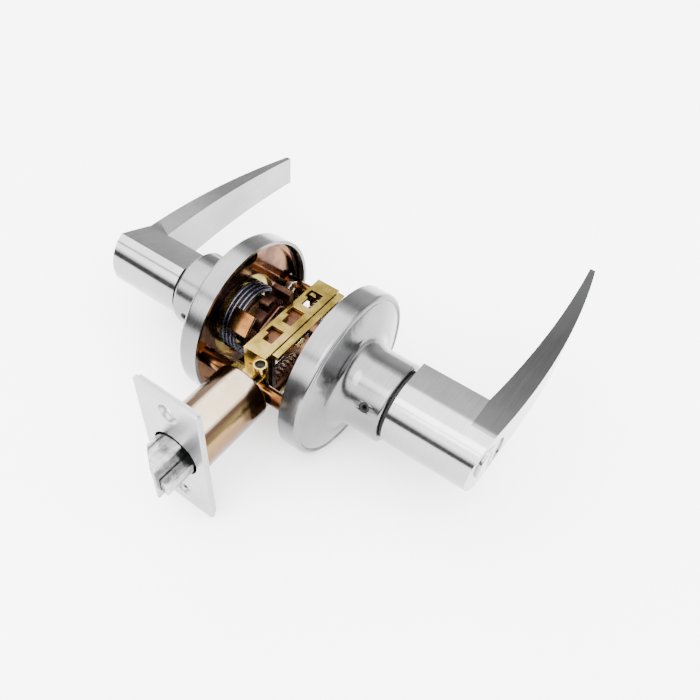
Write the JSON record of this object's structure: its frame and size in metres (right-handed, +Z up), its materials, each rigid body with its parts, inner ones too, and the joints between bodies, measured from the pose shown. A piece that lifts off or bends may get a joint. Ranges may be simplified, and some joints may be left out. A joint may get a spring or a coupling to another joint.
{
  "type": "lever handle lockset",
  "caption": "Cylindrical door lever lockset: keyed outside lever, push-button inside lever, roses, plated chassis and a dead-latching spring latch with faceplate.",
  "frame": {"origin": "lock centre, where the lever axis crosses the latch axis, midway between the two roses", "axes": "+Y along the lever axis towards the inside lever, -X along the latch towards the faceplate, +X the way the lever blades point, +Z up"},
  "size_m": [0.163, 0.1662, 0.063],
  "materials": {
    "satin_chrome": "brushed satin chrome plate on cast zinc",
    "polished_nickel": "turned nickel-plated brass",
    "satin_steel": "satin nickel-plated steel sheet",
    "cast_nickel": "nickel-plated zinc casting",
    "yellow_zinc": "yellow chromate zinc plate, straw gold",
    "plate_zinc": "yellow chromate zinc plate, copper to brown iridescent",
    "tube_zinc": "thin yellow chromate zinc plate, pale pink to straw",
    "bronze_zinc": "dark brown chromate zinc plate",
    "black_spring": "blackened spring steel",
    "bright_wire": "bright zinc-plated wire and screws"
  },
  "bodies": {
    "lock_body": {"outside_rose": "satin_chrome", "inside_rose": "satin_chrome", "outside_mounting_plate": "plate_zinc", "inside_mounting_plate": "plate_zinc", "outside_bearing_sleeve": "yellow_zinc", "inside_bearing_sleeve": "yellow_zinc", "outside_return_spring": "black_spring", "inside_return_spring": "black_spring", "outside_posts": "plate_zinc", "inside_posts": "plate_zinc", "mounting_screws": "bright_wire", "chassis_frame": "yellow_zinc", "retractor_springs": "bright_wire", "faceplate": "satin_steel", "backplate": "satin_steel", "latch_tube": "tube_zinc", "latch_spring": "bright_wire"},
    "outside_lever_body": {"outside_lever": "satin_chrome", "outside_spindle": "bronze_zinc", "outside_lever_catch": "bright_wire", "outside_rollback_cam": "bronze_zinc", "key_cylinder": "polished_nickel"},
    "inside_lever_body": {"inside_lever": "satin_chrome", "inside_spindle": "bronze_zinc", "inside_lever_catch": "bright_wire", "inside_rollback_cam": "bronze_zinc"},
    "key_plug_body": {"key_plug": "polished_nickel", "tailpiece": "bright_wire"},
    "push_button_body": {"push_button": "polished_nickel", "lock_bar": "bright_wire"},
    "retractor_body": {"retractor": "bronze_zinc"},
    "bolt_body": {"latch_bolt": "cast_nickel", "latch_tail": "yellow_zinc", "plunger_spring": "bright_wire"},
    "plunger_body": {"deadlatch_plunger": "cast_nickel"}
  },
  "joints": [
    {"name": "outside_lever_turn", "type": "hinge", "parent": "lock_body", "child": "outside_lever_body", "pos_m": [0, -0.063, 0], "axis": [0, 1, 0], "range_deg": [-50, 50], "stiffness_Nm_per_rad": 2.5},
    {"name": "inside_lever_turn", "type": "hinge", "parent": "lock_body", "child": "inside_lever_body", "pos_m": [0, 0.063, 0], "axis": [0, 1, 0], "range_deg": [0, 50], "stiffness_Nm_per_rad": 2.5, "springref_deg": -5.73},
    {"name": "retractor_slide", "type": "slide", "parent": "lock_body", "child": "retractor_body", "axis": [1, 0, 0], "range_m": [0, 0.0122], "deforming": ["retractor_springs"]},
    {"name": "bolt_slide", "type": "slide", "parent": "lock_body", "child": "bolt_body", "axis": [1, 0, 0], "range_m": [0, 0.0122], "deforming": ["latch_spring"]},
    {"name": "plunger_slide", "type": "slide", "parent": "bolt_body", "child": "plunger_body", "axis": [1, 0, 0], "range_m": [0, 0.0075], "stiffness_N_per_m": 150, "springref_m": -0.005, "deforming": ["plunger_spring"]},
    {"name": "key_turn", "type": "hinge", "parent": "outside_lever_body", "child": "key_plug_body", "pos_m": [0, -0.07, 0], "axis": [0, 1, 0], "range_deg": [-90, 90]},
    {"name": "button_push", "type": "slide", "parent": "inside_lever_body", "child": "push_button_body", "axis": [0, -1, 0], "range_m": [0, 0.0026], "stiffness_N_per_m": 300, "springref_m": -0.002}
  ],
  "couplings": [
    {"joint": "retractor_slide", "follows": "inside_lever_turn", "m_per_rad": 0.01397},
    {"joint": "bolt_slide", "follows": "inside_lever_turn", "m_per_rad": 0.01397}
  ]
}
